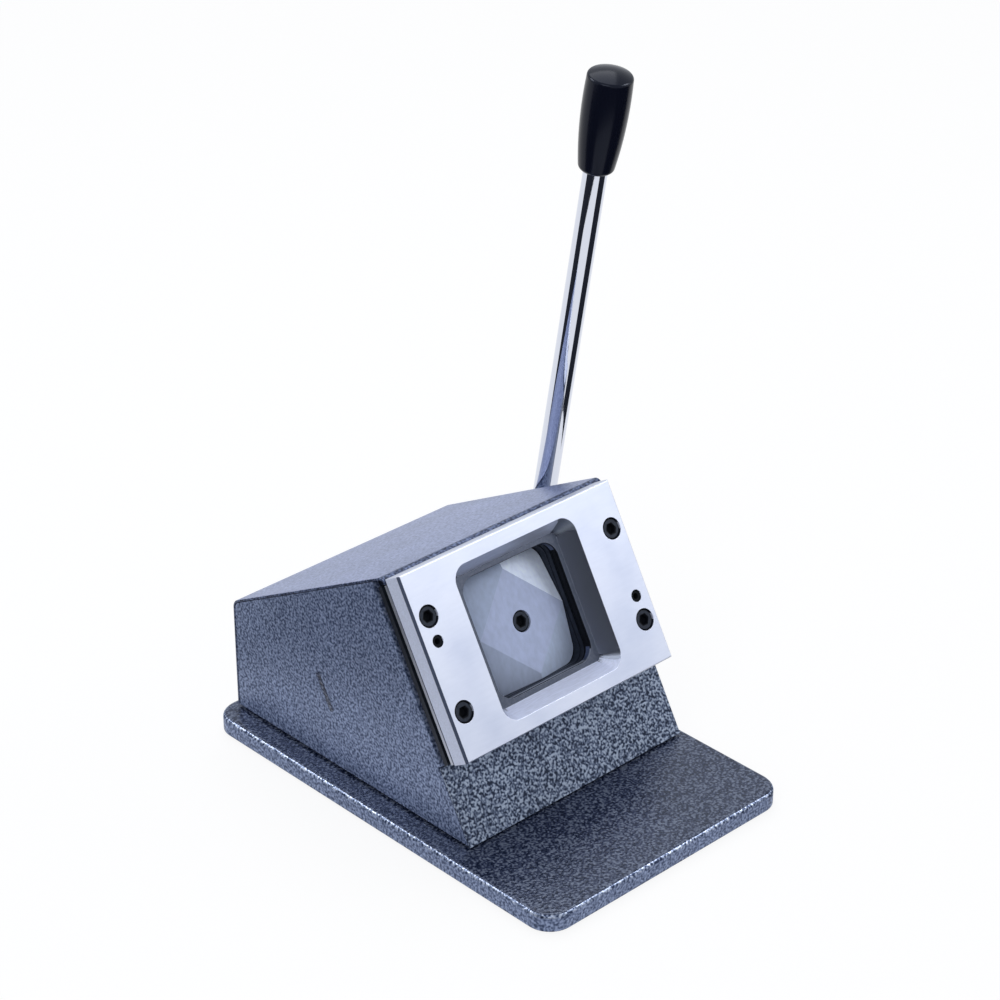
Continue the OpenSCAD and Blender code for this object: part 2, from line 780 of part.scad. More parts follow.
module front_plate() {
    c = plate_chamfer;
    b = plate_bevel;
    k = back_chamfer;
    color("gainsboro") at_die() difference() {
        intersection() {
            translate([0, 0, -half_h]) linear_extrude(height = plate_h)
                polygon([[-half_w + c, 0], [half_w - c, 0], [half_w, c], [half_w, plate_t - k],
                    [half_w - k, plate_t], [-half_w + k, plate_t], [-half_w, plate_t - k],
                    [-half_w, c]]);
            side_sheet(-half_w, plate_w)
                polygon([[0, -half_h + b], [0, half_h - b], [b, half_h], [plate_t, half_h],
                    [plate_t, -half_h], [b, -half_h]]);
        }
        window_cut();
        head_positions() {
            bar_y(screw_bore_d, -over, screw_head_h + screw_sink);
            bar_y(screw_d + 2 * free_gap, 0, plate_t + over);
        }
        dowel_positions() bar_y(dowel_d + 2 * fit_gap, -over, plate_t + over);
    }
}

module die_plate() {
    c = die_chamfer;
    color("silver") at_die() difference() {
        translate([0, 0, -half_h + layer_inset]) linear_extrude(height = half_h - layer_inset + stack_top)
            polygon([[-layer_half + c, s_die], [layer_half - c, s_die], [layer_half, s_die + c],
                [layer_half, s_slot - c], [layer_half - c, s_slot], [-layer_half + c, s_slot],
                [-layer_half, s_slot - c], [-layer_half, s_die + c]]);
        prism(punch_w + 2 * cut_gap, punch_r - corner_relief, s_die - over, s_slot + over);
        head_positions() bar_y(screw_d + 2 * free_gap, s_die - over, s_slot + over);
        dowel_positions() bar_y(dowel_d + 2 * fit_gap, s_die - over, s_slot + over);
    }
}

module slot_strips() {
    color("black") at_die() for (sx = [-1, 1]) difference() {
        span(sx * (strip_out + strip_in) / 2 - strip_w / 2, sx * (strip_out + strip_in) / 2 + strip_w / 2,
            s_slot, s_strip, -half_h + layer_inset + strip_inset, stack_top);
        head_positions() bar_y(screw_d + 2 * free_gap, s_slot - over, s_strip + over);
        dowel_positions() bar_y(dowel_d + 2 * fit_gap, s_slot - over, s_strip + over);
    }
}

module stripper_plate() {
    color("dimgray") at_die() difference() {
        span(-layer_half, layer_half, s_strip, s_guide, -half_h + layer_inset, stack_top);
        prism(punch_w + 2 * free_gap, punch_r - corner_relief, s_strip - over, s_guide + over);
        head_positions() bar_y(screw_d + 2 * free_gap, s_strip - over, s_guide + over);
        dowel_positions() bar_y(dowel_d + 2 * fit_gap, s_strip - over, s_guide + over);
    }
}

module guide_block() {
    color("dimgray") at_die() difference() {
        span(left_in - plate_off, right_in - plate_off, s_guide, s_guide_end,
            -guide_low, guide_top);
        prism(punch_w + 2 * guide_gap, punch_r - corner_relief, s_guide - over, s_guide_end + over);
        head_positions() bar_y(screw_d + 2 * fit_gap, s_guide - over, s_guide_end + over);
        dowel_positions() bar_y(dowel_d + 2 * fit_gap, s_guide - over, s_guide_end + over);
        post_positions() bar_y(post_d + 2 * fit_gap, s_guide_end - post_depth, s_guide_end + over);
    }
}

module head_screws() {
    color("black") at_die() head_positions()
        cap_screw(screw_head_d, screw_head_h, screw_d, screw_l, screw_key, screw_key_h, screw_sink);
}

module dowel_pins() {
    color("black") at_die() dowel_positions() difference() {
        bar_y(dowel_d, dowel_sink, dowel_sink + dowel_l);
        bar_y(dowel_pull_d, dowel_sink - over, dowel_sink + dowel_pull_h);
    }
}

module guide_posts() {
    color("silver") at_die() post_positions()
        bar_y(post_d, s_guide_end - post_depth + end_play, s_bulk_end);
}

// Point on the wire's skin: ring number i, corner number j
function coil_angle(i) = i * 45;
function coil_point(i, j) = let (a = coil_angle(i), w = spring_wire / 2,
    rr = spring_d / 2 + w * cos(j * 60),
    h = w + (spring_l - spring_wire) * i / (spring_turns * 8) + w * sin(j * 60))
    [rr * cos(a), h, rr * sin(a)];

module coil() {
    n = spring_turns * 8;
    pts = [for (i = [0 : n]) for (j = [0 : 5]) coil_point(i, j)];
    sides = [for (i = [0 : n - 1]) for (j = [0 : 5])
        [i * 6 + j, (i + 1) * 6 + j, (i + 1) * 6 + (j + 1) % 6, i * 6 + (j + 1) % 6]];
    ends = [[for (j = [0 : 5]) j], [for (j = [5 : -1 : 0]) n * 6 + j]];
    polyhedron(points = pts, faces = concat(sides, ends));
}

module return_springs() {
    color("silver") at_die() post_positions() translate([0, s_guide_end + end_play, 0]) coil();
}

module stop_sleeves() {
    color("gray") at_die() post_positions() difference() {
        bar_y(sleeve_d, sleeve_0, bulk_depth);
        bar_y(post_d + 2 * free_gap, sleeve_0 - over, bulk_depth + over);
    }
}

module punch() {
    // Distance of the diamond's sides from its middle
    edge = diamond_half / sqrt(2);
    color("lightsteelblue") at_die() difference() {
        prism(punch_w, punch_r, s_face, s_head);
        translate([punch_shift, 0, -punch_fall]) {
            for (turn = [45 : 90 : 315]) rotate([0, turn, 0])
                translate([edge, s_face, 0]) rotate([0, 0, facet_angle])
                    translate([0, -punch_w, -punch_w]) cube([punch_w, punch_w, 2 * punch_w]);
            bar_y(punch_bore_d, s_face - over, s_face + screw_sink + screw_head_h);
            bar_y(screw_d + 2 * free_gap, s_face, s_head + over);
        }
    }
}

module punch_screw() {
    color("black") at_die() translate([punch_shift, 0, -punch_fall]) cap_screw(screw_head_d, screw_head_h,
        screw_d, punch_screw_l, screw_key, screw_key_h, s_face + screw_sink);
}

module crosshead() {
    color("gray") at_die() difference() {
        span(-head_w / 2, head_w / 2, s_head, s_tail, -head_h / 2, head_h / 2);
        translate([punch_shift, 0, -punch_fall]) bar_y(screw_d + 2 * fit_gap, s_head - over, s_tail + over);
        post_positions() bar_y(bush_d + 2 * fit_gap, s_head - over, s_tail + over);
        clevis_screw_positions() {
            bar_y(clevis_screw_head_d + 2 * free_gap, s_head - over,
                s_head + clevis_screw_head_h + screw_sink);
            bar_y(clevis_screw_d + 2 * free_gap, s_head, s_tail + over);
        }
    }
}

module clevis_screw_positions() {
    for (sv = [-1, 1]) translate([0, 0, sv * clevis_screw_pitch / 2]) children();
}

module post_bushes() {
    color("goldenrod") at_die() post_positions() difference() {
        union() {
            bar_y(bush_d, s_head, s_tail);
            bar_y(bush_flange_d, s_tail, s_tail + bush_flange_t);
        }
        bar_y(post_d + 2 * run_gap, s_head - over, s_tail + bush_flange_t + over);
    }
}

module clevis() {
    color("gray") at_die() difference() {
        span(-clevis_w / 2, clevis_w / 2, s_tail, s_roller + clevis_end,
            -clevis_h / 2, clevis_h / 2);
        span(-clevis_slot / 2, clevis_slot / 2, s_tail + clevis_solid, s_roller + clevis_end + over,
            -clevis_h / 2 - over, clevis_h / 2 + over);
        clevis_screw_positions() bar_y(clevis_screw_d + 2 * fit_gap, s_tail - over,
            s_head + clevis_screw_head_h + screw_sink + clevis_screw_l + end_play);
        translate([0, s_roller, 0])
            bar_x(roller_pin_d + 2 * fit_gap, -clevis_w / 2 - over, clevis_w / 2 + over);
    }
}

module clevis_screws() {
    color("black") at_die() clevis_screw_positions() cap_screw(clevis_screw_head_d,
        clevis_screw_head_h, clevis_screw_d, clevis_screw_l, button_key, screw_key_h, s_head + screw_sink);
}

module roller() {
    color("silver") at_die() translate([0, s_roller, 0]) difference() {
        bar_x(roller_d, -roller_w / 2, roller_w / 2);
        bar_x(roller_pin_d + 2 * run_gap, -roller_w, roller_w);
    }
}

module roller_pin() {
    color("silver") at_die() translate([0, s_roller, 0])
        bar_x(roller_pin_d, -clevis_w / 2, clevis_w / 2);
}

module at_pivot() {
    at_die() translate([0, pivot_depth, 0]) children();
}

module bearing_blocks() {
    color("gray") for (cx = [bearing_cx_left, bearing_cx_right]) at_die() difference() {
        span(cx - plate_off - bearing_block_t / 2, cx - plate_off + bearing_block_t / 2, s_bulk_end,
            pivot_depth + bearing_block_back, -bearing_block_h / 2, bearing_block_h / 2);
        translate([cx - plate_off, pivot_depth, 0])
            bar_x(bearing_d + 2 * fit_gap, -bearing_block_t, bearing_block_t);
        bearing_screw_positions() bar_y(screw_d + 2 * fit_gap, s_bulk_end - over,
            bulk_depth + bearing_screw_l + end_play);
    }
}

module bearing_bushes() {
    color("goldenrod") at_pivot() difference() {
        union() {
            bar_x(bearing_d, left_in + end_play - plate_off, left_in + bearing_block_t - plate_off);
            bar_x(bearing_flange_d, left_in + bearing_block_t - plate_off,
                left_in + bearing_block_t + bush_flange_t - plate_off);
            bar_x(bearing_d, right_in - bearing_block_t - plate_off, right_x - plate_off);
            bar_x(bearing_flange_d, right_in - bearing_block_t - bush_flange_t - plate_off,
                right_in - bearing_block_t - plate_off);
        }
        bar_x(shaft_d + 2 * run_gap, left_x, right_x + over);
    }
}

module bearing_screws() {
    color("black") at_die() bearing_screw_positions() cap_screw(screw_head_d, screw_head_h, screw_d,
        bearing_screw_l, screw_key, screw_key_h, bulk_depth - screw_head_h);
}

module thrust_washer() {
    color("goldenrod") translate([0, pivot_y, pivot_z]) difference() {
        bar_x(washer_d, thrust_x, thrust_x + washer_t);
        bar_x(shaft_d + 2 * run_gap, thrust_x - over, thrust_x + washer_t + over);
    }
}

module lever_shaft() {
    color("silver") difference() {
        translate([0, pivot_y, pivot_z]) bar_x(shaft_d, shaft_x, shaft_end);
        translate([0, pivot_y, pivot_z])
            bar_x(screw_d + 2 * fit_gap, shaft_end - end_screw_l, shaft_end + over);
        at_pivot() translate([cam_w / 2 + (cam_hub_w - cam_w) / 4, 0, -shaft_d])
            cylinder(h = 2 * shaft_d, d = cam_pin_d + 2 * fit_gap);
        at_lever() key_cut();
    }
}

// Key seat shared by shaft and hub, on the rear side of the shaft
module key_cut() {
    span(hub_x + end_play - fit_gap, hub_x + end_play + key_l + fit_gap, shaft_d / 2 - key_s / 2 - fit_gap,
        shaft_d / 2 + key_s / 2 + fit_gap, -key_s / 2 - fit_gap, key_s / 2 + fit_gap);
}

// Cam profile: the roller centre moves in by the same amount for each degree of swing
function cam_point(t) = let (a = 180 - t, rho = pitch_r + cam_rate * t,
    kr = cam_rate * 180 / PI, m = sqrt(rho * rho + kr * kr), off = roller_d / 2 + cam_gap)
    [rho * cos(a) - off * (rho * cos(a) - kr * sin(a)) / m,
     rho * sin(a) - off * (rho * sin(a) + kr * cos(a)) / m];

module cam() {
    color("darkgray") at_pivot() difference() {
        union() {
            translate([-cam_w / 2, 0, 0]) rotate([90, 0, 90]) linear_extrude(height = cam_w)
                union() {
                    circle(r = cam_body_r);
                    polygon(concat([[0, 0]],
                        [for (t = [-cam_over : cam_step : swing + cam_over]) cam_point(t)]));
                }
            bar_x(cam_hub_d, -cam_hub_w / 2, -cam_w / 2);
            bar_x(cam_hub_d, cam_w / 2, cam_hub_w / 2);
        }
        bar_x(shaft_d + 2 * fit_gap, -cam_hub_w, cam_hub_w);
        translate([cam_w / 2 + (cam_hub_w - cam_w) / 4, 0, -cam_hub_d])
            cylinder(h = 2 * cam_hub_d, d = cam_pin_d + 2 * fit_gap);
    }
}

module cam_pin() {
    color("silver") at_pivot() translate([cam_w / 2 + (cam_hub_w - cam_w) / 4, 0, -cam_hub_d / 2])
        cylinder(h = cam_hub_d, d = cam_pin_d);
}

module collar_positions() {
    for (x0 = [collar_left, collar_right]) translate([x0, 0, 0]) children();
}

module shaft_collars() {
    color("gray") at_pivot() collar_positions() difference() {
        bar_x(collar_d, 0, collar_w);
        bar_x(shaft_d + 2 * fit_gap, -over, collar_w + over);
        translate([collar_w / 2, 0, 0]) cylinder(h = collar_d, d = clevis_screw_d + 2 * fit_gap);
    }
}

module collar_screws() {
    color("black") at_pivot() collar_positions() translate([collar_w / 2, 0, 0])
        grub(clevis_screw_d, shaft_d / 2 + 2 * fit_gap, collar_d / 2 - end_play);
}

// Set screw along Z between two radii, with its socket at the outer end
module grub(d, r0, r1) {
    difference() {
        translate([0, 0, r0]) cylinder(h = r1 - r0, d = d);
        translate([0, 0, r1 - (r1 - r0) / 2])
            cylinder(h = (r1 - r0) / 2 + over, r = set_key / sqrt(3), $fn = 6);
    }
}

module lever_hub() {
    color("silver") at_lever() difference() {
        union() {
            bar_x(hub_d, hub_x, hub_end);
            translate([rod_x, 0, 0]) cylinder(h = neck_at, d = neck_d);
        }
        bar_x(shaft_d + 2 * fit_gap, hub_x - over, hub_end + over);
        translate([rod_x, 0, 0]) cylinder(h = neck_at + over, d = rod_d + 2 * fit_gap);
        translate([rod_x, 0, -hub_d]) cylinder(h = hub_d, d = screw_d + 2 * fit_gap);
        key_cut();
    }
}

module hub_key() {
    color("gray") at_lever() span(hub_x + end_play, hub_x + end_play + key_l, shaft_d / 2 - key_s / 2,
        shaft_d / 2 + key_s / 2, -key_s / 2, key_s / 2);
}

module hub_set_screw() {
    color("black") at_lever() translate([rod_x, 0, 0]) rotate([180, 0, 0])
        grub(screw_d, shaft_d / 2 + 2 * fit_gap, hub_d / 2 - end_play);
}

module end_washer() {
    color("silver") at_lever() difference() {
        bar_x(end_washer_d, hub_end, hub_end + end_washer_t);
        bar_x(screw_d + 2 * free_gap, hub_end - over, hub_end + end_washer_t + over);
    }
}

module end_screw() {
    color("black") at_lever() translate([hub_end + end_washer_t, 0, 0]) rotate([0, -90, 0])
        button_screw(end_screw_l);
}

module lever_rod() {
    color("gainsboro") at_lever() translate([rod_x, 0, shaft_d / 2 + rod_clear])
        cylinder(h = knob_at + knob_bore - shaft_d / 2 - rod_clear - end_play, d = rod_d);
}

// Distance from the axis of a rounding of radius r at height h that runs into the knob's side
function round_x(h, r) = knob_d / 2 - knob_side_r
    + sqrt(pow(knob_side_r - r, 2) - pow(knob_widest - h, 2));

// Height at which such a rounding meets the side's arc
function round_end(h, r) = knob_widest - (knob_widest - h) * knob_side_r / (knob_side_r - r);

module lever_knob() {
    low_x = round_x(knob_r0, knob_r0);
    low_end = round_end(knob_r0, knob_r0);
    rim_z = knob_l - dome_h - knob_r1;
    rim_x = round_x(rim_z, knob_r1);
    rim_start = round_end(rim_z, knob_r1);
    // Radius of the domed end, which runs into the rim's rounding
    dome_r = (rim_x * rim_x + dome_h * (dome_h + 2 * knob_r1)) / (2 * dome_h);
    dome_z = knob_l - dome_r;
    rim_end = dome_z + (rim_z - dome_z) * dome_r / (dome_r - knob_r1);
    color("black") at_lever() translate([rod_x, 0, knob_at]) rotate_extrude() difference() {
        union() {
            square([low_x, knob_r0]);
            intersection() {
                translate([low_x, knob_r0]) circle(r = knob_r0);
                translate([low_x, 0]) square(knob_r0);
            }
            intersection() {
                translate([knob_d / 2 - knob_side_r, knob_widest]) circle(r = knob_side_r, $fn = fine_fn);
                translate([0, low_end]) square([knob_d, rim_start - low_end]);
            }
            translate([0, rim_z]) square([rim_x, knob_r1]);
            intersection() {
                translate([rim_x, rim_z]) circle(r = knob_r1);
                translate([rim_x, rim_z]) square(knob_r1);
            }
            intersection() {
                translate([0, dome_z]) circle(r = dome_r, $fn = fine_fn);
                translate([0, rim_end]) square([knob_d, knob_l]);
            }
        }
        translate([-over, -over]) square([rod_d / 2 + fit_gap + over, knob_bore + over]);
    }
}

base_plate();
rubber_feet();
base_screws();
mounting_blocks();
side_panel_left();
side_panel_right();
front_panel();
case_cover();
rear_tie_bar();
cover_screws();
bulkhead();
front_plate();
die_plate();
slot_strips();
stripper_plate();
guide_block();
head_screws();
dowel_pins();
guide_posts();
return_springs();
stop_sleeves();
punch();
punch_screw();
crosshead();
post_bushes();
clevis();
clevis_screws();
roller();
roller_pin();
bearing_blocks();
bearing_bushes();
bearing_screws();
thrust_washer();
lever_shaft();
cam();
cam_pin();
shaft_collars();
collar_screws();
lever_hub();
hub_key();
hub_set_screw();
end_washer();
end_screw();
lever_rod();
lever_knob();
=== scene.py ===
# Looks of the square paper punch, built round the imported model.
# Metres, in the same frame as the solids: +X to the lever, -Y to the person using it, +Z up.
import math

import bmesh
import bpy
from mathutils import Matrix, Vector


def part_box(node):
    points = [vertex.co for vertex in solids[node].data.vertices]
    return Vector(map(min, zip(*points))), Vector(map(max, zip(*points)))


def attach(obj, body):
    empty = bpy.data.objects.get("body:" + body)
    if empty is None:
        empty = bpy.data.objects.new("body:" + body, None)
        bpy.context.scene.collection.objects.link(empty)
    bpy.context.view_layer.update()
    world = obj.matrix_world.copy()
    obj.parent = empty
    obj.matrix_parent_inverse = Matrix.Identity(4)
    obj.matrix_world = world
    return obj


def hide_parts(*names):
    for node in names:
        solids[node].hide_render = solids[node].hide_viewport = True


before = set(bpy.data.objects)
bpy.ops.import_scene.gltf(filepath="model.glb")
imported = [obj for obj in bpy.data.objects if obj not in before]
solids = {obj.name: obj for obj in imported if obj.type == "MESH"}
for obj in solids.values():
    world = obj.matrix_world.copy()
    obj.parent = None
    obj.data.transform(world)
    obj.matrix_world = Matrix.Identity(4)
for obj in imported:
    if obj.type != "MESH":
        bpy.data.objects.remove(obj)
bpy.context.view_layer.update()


# Base plate: a thick steel plate with its corners and edges rounded over. Like the case, it is
# sprayed with hammertone enamel, a blue-grey paint that dries into light cells with dark worms
# between them. The top is painted in a darker copy of the paint, as painted shade and dark
# reflection; the upright edges take the side panels' lighter copy, and the rounded top edge a
# pale, more metallic copy that is a painted highlight.
paint_cell = 0.00106
paint_twist = 0.3
paint_relief = 0.00025
paint_relief_share = 0.55
paint_gleam = (0.74, 0.82, 1.0)
cloud_scale = 45
paint_ease = 0.00012
weld_distance = 2e-6
flat_angle = math.radians(0.6)
upright_below = 0.3
level_above = 0.85


def wire(owner, start, end):
    owner.node_tree.links.new(start, end)


def skin_of(mat):
    return mat.node_tree.nodes["Principled BSDF"]


def finish(name, colour=(0.8, 0.8, 0.8), rough=0.5, metal=0.0, shine=0.5, gleam=(1, 1, 1)):
    """A finish that is alike all over. Where it has a pattern, that takes the colour's place."""
    mat = bpy.data.materials.new(name)
    mat.use_nodes = True
    skin = skin_of(mat)
    skin.inputs["Base Color"].default_value = (*colour, 1)
    skin.inputs["Roughness"].default_value = rough
    skin.inputs["Metallic"].default_value = metal
    skin.inputs["Specular IOR Level"].default_value = shine
    skin.inputs["Specular Tint"].default_value = (*gleam, 1)
    return mat


def grain(mat, scale, detail, stretch=(1, 1, 1), twist=0.0):
    """A cloudy pattern fixed to the piece, its scale in spots to the metre. A stretch that is
    below 1 draws it out into lines."""
    nodes = mat.node_tree.nodes
    place = nodes.new("ShaderNodeTexCoord")
    aim = nodes.new("ShaderNodeMapping")
    aim.inputs["Scale"].default_value = stretch
    pattern = nodes.new("ShaderNodeTexNoise")
    pattern.inputs["Scale"].default_value = scale
    pattern.inputs["Detail"].default_value = detail
    pattern.inputs["Distortion"].default_value = twist
    wire(mat, place.outputs["Object"], aim.inputs["Vector"])
    wire(mat, aim.outputs["Vector"], pattern.inputs["Vector"])
    return pattern


def grey(value):
    return (value, value, value)


def tones(mat, pattern, stops):
    """Colours a pattern. Each stop is a place on the pattern's scale and the tone there."""
    ramp = mat.node_tree.nodes.new("ShaderNodeValToRGB")
    marks = ramp.color_ramp.elements
    while len(marks) < len(stops):
        marks.new(0.5)
    for mark, (at, tone) in zip(marks, stops):
        mark.position = at
        mark.color = (*tone, 1)
    wire(mat, pattern.outputs["Fac"], ramp.inputs["Fac"])
    return ramp


def colour_by_product(mat, first, second):
    both = mat.node_tree.nodes.new("ShaderNodeMix")
    both.data_type = "RGBA"
    both.blend_type = "MULTIPLY"
    both.inputs["Factor"].default_value = 1.0
    wire(mat, first.outputs["Color"], both.inputs["A"])
    wire(mat, second.outputs["Color"], both.inputs["B"])
    wire(mat, both.outputs["Result"], skin_of(mat).inputs["Base Color"])


def hammertone(name, deep, middle, light, gloss=0.34, metal=0.35, spread=0.22, shine=0.35):
    """Paint in three tones, from the worms to the hearts of the cells, on a raised pattern."""
    mat = finish(name, rough=gloss, metal=metal, shine=shine, gleam=paint_gleam)
    cells = grain(mat, 1 / paint_cell, detail=0, twist=paint_twist)
    clouds = grain(mat, cloud_scale, detail=2)
    paint = tones(mat, cells, [(0.5 - spread, deep), (0.5, middle), (0.5 + spread, light)])
    drift = tones(mat, clouds, [(0.3, grey(0.86)), (0.7, grey(1))])
    colour_by_product(mat, paint, drift)
    relief = mat.node_tree.nodes.new("ShaderNodeBump")
    relief.inputs["Strength"].default_value = paint_relief_share
    relief.inputs["Distance"].default_value = paint_relief
    wire(mat, cells.outputs["Fac"], relief.inputs["Height"])
    wire(mat, relief.outputs["Normal"], skin_of(mat).inputs["Normal"])
    return mat


def dress(piece, mat):
    piece.data.materials.clear()
    piece.data.materials.append(mat)


def eased(node, name, width, mat, body, corner=30):
    """A dressed copy of a solid with its sharp edges eased, which stands in for that solid."""
    mesh = solids[node].data.copy()
    mesh.name = name
    shape = bmesh.new()
    shape.from_mesh(mesh)
    bmesh.ops.remove_doubles(shape, verts=shape.verts, dist=weld_distance)
    bmesh.ops.dissolve_limit(shape, angle_limit=flat_angle, verts=shape.verts, edges=shape.edges)
    shape.to_mesh(mesh)
    shape.free()
    if "custom_normal" in mesh.attributes:
        mesh.attributes.remove(mesh.attributes["custom_normal"])
    for face in mesh.polygons:
        face.use_smooth = True
    piece = bpy.data.objects.new(name, mesh)
    bpy.context.collection.objects.link(piece)
    edge = piece.modifiers.new("eased_edges", "BEVEL")
    edge.width = width
    edge.segments = 2
    edge.limit_method = "ANGLE"
    edge.angle_limit = math.radians(corner)
    edge.use_clamp_overlap = False
    edge.harden_normals = True
    dress(piece, mat)
    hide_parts(node)
    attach(piece, body)
    return piece


def repaint(piece, mat, chosen):
    """Gives the faces that are chosen by their centre and normal a second finish."""
    piece.data.materials.append(mat)
    for face in piece.data.polygons:
        if chosen(face.center, face.normal):
            face.material_index = len(piece.data.materials) - 1


# The darker copy on the top is painted shade and dark reflection; the pale copy on the rounded edge is
# a painted highlight.
shaded_paint = hammertone("hammertone_shaded", (0.004, 0.009, 0.030), (0.036, 0.048, 0.098),
                        (0.150, 0.178, 0.250), gloss=0.24, metal=0.1, spread=0.20, shine=0.5)
side_paint = hammertone("hammertone_sides", (0.044, 0.064, 0.130), (0.160, 0.203, 0.330),
                        (0.310, 0.375, 0.56))
arris_highlight_paint = hammertone("hammertone_arris_highlight", (0.02, 0.03, 0.07), (0.17, 0.21, 0.31),
                         (0.45, 0.50, 0.62), gloss=0.36, metal=0.65, spread=0.20)
base = eased("base_plate", "base_plate_painted", paint_ease, shaded_paint, "frame")
repaint(base, side_paint, lambda centre, normal: abs(normal.z) < upright_below)
repaint(base, arris_highlight_paint, lambda centre, normal: upright_below < normal.z < level_above)


# Rubber feet: four black discs, moulded, that sit in shallow recesses under the base plate
# and keep its paint off the desk.
rubber = finish("black_rubber", (0.02, 0.02, 0.021), rough=0.75)
dress(solids["rubber_feet"], rubber)


# Case: two side panels, the cover bent over top and rear, and the front panel under the die
# head, all of steel sheet in the same paint. Each wears its own copy of it, lit or shaded: the
# cover's is paler, a painted sheen; the front panel's has darker worms and brighter cells,
# painted shade and glints; the lip's is darker, painted shade. The bulkhead's tab shows in a
# slot of each side panel.
sheet_edge = 0.0002
lip_facing = 0.42
# Lit and shaded copies of one paint: painted shade and glints on the front, painted sheen on the
# cover, painted shade on the lip.
front_shade_and_glint_paint = hammertone("hammertone_front_shade_and_glint", (0.005, 0.011, 0.030), (0.108, 0.138, 0.215),
                         (0.370, 0.43, 0.54), spread=0.19)
cover_sheen_paint = hammertone("hammertone_cover_sheen", (0.135, 0.17, 0.31), (0.25, 0.29, 0.465),
                       (0.355, 0.405, 0.60))
shaded_lip_paint = hammertone("hammertone_lip_shaded", (0.015, 0.020, 0.045), (0.070, 0.090, 0.165),
                       (0.15, 0.19, 0.32))
for node in ("side_panel_left", "side_panel_right"):
    eased(node, node + "_painted", sheet_edge, side_paint, "frame")
eased("front_panel", "front_panel_painted", sheet_edge, front_shade_and_glint_paint, "frame")
cover = eased("case_cover", "case_cover_painted", sheet_edge, cover_sheen_paint, "frame")
repaint(cover, shaded_lip_paint, lambda centre, normal: normal.y < lip_facing)
# The bulkhead is dressed in the base top's darker copy, the painted shade.
dress(solids["bulkhead"], shaded_paint)


# Inner frame and drive, of plain machined steel: blocks, tie bar, posts, sleeves, crosshead,
# clevis, roller, bearing blocks, shaft, cam and hub. Turned and milled, then lightly oiled.
inner_steel = ("mounting_blocks", "rear_tie_bar", "guide_posts", "return_springs", "stop_sleeves",
               "crosshead", "clevis", "roller", "roller_pin", "bearing_blocks", "lever_shaft",
               "cam", "cam_pin", "shaft_collars", "hub_key", "end_washer", "lever_hub")


def marked(mat, scale, dark, light, detail=3, stretch=(1, 1, 1)):
    """Gives a metal the fine marks, in two tones, of the tool that cut or ground it."""
    marks = tones(mat, grain(mat, scale, detail, stretch), [(0.3, dark), (0.7, light)])
    wire(mat, marks.outputs["Color"], skin_of(mat).inputs["Base Color"])
    return mat


machined = marked(finish("machined_steel", rough=0.36, metal=1.0), 260,
                  dark=(0.36, 0.37, 0.39), light=(0.52, 0.53, 0.55), stretch=(1, 1, 6))
for node in inner_steel:
    dress(solids[node], machined)


# Bushes and thrust washer: turned from bronze bar and pressed or slipped into place. They
# keep the posts and the lever's shaft from wearing the steel.
bronze = finish("turned_bronze", (0.60, 0.40, 0.16), rough=0.32, metal=1.0)
for node in ("post_bushes", "bearing_bushes", "thrust_washer"):
    dress(solids[node], bronze)


# Blackened steel: guide block, stripper plate, slot strips, dowels and the screws of the case
# and the drive. Oil blackening leaves a dark satin skin; the dowels' ends show almost black.
black_gleam = (0.72, 0.80, 1.0)
black = marked(finish("blackened_steel", rough=0.42, metal=0.3, shine=0.35, gleam=black_gleam),
               900, dark=(0.008, 0.010, 0.016), light=(0.018, 0.022, 0.032), detail=2)
# Near black: the dowels' own dark ends, and elsewhere painted shade, in the screws' counterbores and
# sockets and deep in the die hole.
black_and_shade = finish("black_and_shade", (0.003, 0.004, 0.007), rough=0.7, shine=0.1)
for node in ("guide_block", "stripper_plate", "slot_strips", "base_screws", "cover_screws",
             "clevis_screws", "bearing_screws", "collar_screws", "hub_set_screw", "end_screw"):
    dress(solids[node], black)
dress(solids["dowel_pins"], black_and_shade)


# Cap screws of the die head, in their counterbores, and the screw in the middle of the punch.
# Blackened too, only on their flat ends; the rest of each screw, rim and socket with it, is
# painted near black as the shade of the counterbore and socket. The head leans back by the tilt.
tilt = math.radians(30)
into = Vector((0, math.cos(tilt), -math.sin(tilt)))
along = Vector((0, math.sin(tilt), math.cos(tilt)))
screw_rim = 0.00045
end_depth = 0.0003
end_facing = -0.9
for node, body in (("head_screws", "frame"), ("punch_screw", "ram")):
    screw = eased(node, node + "_black", screw_rim, black_and_shade, body)
    end = min(face.center.dot(into) for face in screw.data.polygons) + end_depth
    repaint(screw, black,
            lambda centre, normal: centre.dot(into) < end and normal.dot(into) < end_facing)
    screw.modifiers["eased_edges"].material = 0


# Die head: the thick front plate with its sloping window, and the die plate behind it, both
# surface ground on all sides. Grinding leaves fine lines across the plate and a pale shine,
# and years of handling leave cloudy patches, a little duller or warmer than the rest.
plate_ease = 0.0001
die_ease = 0.00008
ground = finish("ground_steel", metal=1.0)
ground_lines = tones(ground, grain(ground, 700, detail=2, stretch=(0.2, 1, 1)),
                     [(0.3, (0.495, 0.525, 0.625)), (0.7, (0.515, 0.545, 0.645))])
patches = grain(ground, 28, detail=3)
stain = tones(ground, patches,
              [(0.3, (0.87, 0.89, 0.93)), (0.5, grey(1)), (0.7, (1.06, 1.05, 1.02))])
rub = tones(ground, patches, [(0.3, grey(0.34)), (0.7, grey(0.46))])
colour_by_product(ground, ground_lines, stain)
wire(ground, rub.outputs["Color"], skin_of(ground).inputs["Roughness"])
front_plate = eased("front_plate", "front_plate_ground", plate_ease, ground, "frame")
die_plate = eased("die_plate", "die_plate_ground", die_ease, ground, "frame")


